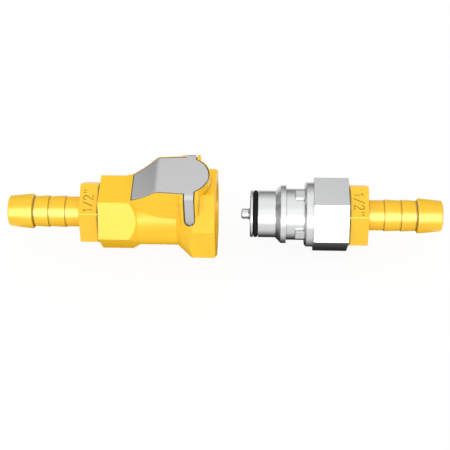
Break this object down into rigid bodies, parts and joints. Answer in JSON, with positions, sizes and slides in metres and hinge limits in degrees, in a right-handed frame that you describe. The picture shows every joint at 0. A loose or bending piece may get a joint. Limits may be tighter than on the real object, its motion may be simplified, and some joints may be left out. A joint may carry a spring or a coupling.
{
  "type": "quick coupling",
  "caption": "Quick coupling for a half-inch hose, pulled apart: yellow socket with thumb latch, and plated insert, each with a hose barb and an inner valve.",
  "frame": {"origin": "centre of the socket's mouth, on the common axis of both halves", "axes": "+X along the axis from the socket towards the insert, +Z towards the thumb latch"},
  "size_m": [0.1772, 0.036, 0.0397],
  "materials": {
    "yellow_brass": "satin, bright yellow",
    "latch_steel": "satin, drawn sheet",
    "plate_steel": "satin, punched sheet",
    "spring_steel": "drawn wire",
    "bright_chrome": "polished",
    "valve_steel": "fine turned",
    "guide_brass": "fine turned",
    "black_rubber": "moulded, matt"
  },
  "bodies": {
    "coupler": {"coupler_body": "yellow_brass", "body_hose_barb": "yellow_brass", "body_barb_seal": "black_rubber", "body_valve_guide": "guide_brass", "body_retaining_ring": "spring_steel", "body_valve_spring": "spring_steel", "latch_spring_left": "spring_steel", "latch_spring_right": "spring_steel"},
    "latch": {"thumb_latch": "latch_steel", "lock_plate": "plate_steel"},
    "body_valve": {"body_valve_poppet": "valve_steel", "body_valve_seal": "black_rubber"},
    "insert": {"insert_body": "bright_chrome", "nose_ring": "black_rubber", "insert_hose_barb": "yellow_brass", "insert_barb_seal": "black_rubber", "insert_valve_guide": "guide_brass", "insert_retaining_ring": "spring_steel", "insert_valve_spring": "spring_steel"},
    "insert_valve": {"insert_valve_poppet": "valve_steel", "insert_valve_seal": "black_rubber"}
  },
  "joints": [
    {"name": "insert_slide", "type": "slide", "parent": "coupler", "child": "insert", "axis": [-1, 0, 0], "range_m": [0, 0.03915]},
    {"name": "latch_slide", "type": "slide", "parent": "coupler", "child": "latch", "axis": [0, 0, 1], "range_m": [0, 0.0015], "deforming": ["latch_spring_left", "latch_spring_right"]},
    {"name": "body_valve_slide", "type": "slide", "parent": "coupler", "child": "body_valve", "axis": [-1, 0, 0], "range_m": [0, 0.0036], "deforming": ["body_valve_spring"]},
    {"name": "insert_valve_slide", "type": "slide", "parent": "insert", "child": "insert_valve", "axis": [1, 0, 0], "range_m": [0, 0.0036], "deforming": ["insert_valve_spring"]}
  ],
  "couplings": [
    {"joint": "body_valve_slide", "follows": "insert_slide", "ratio": 0.0919},
    {"joint": "insert_valve_slide", "follows": "insert_slide", "ratio": 0.0919}
  ]
}
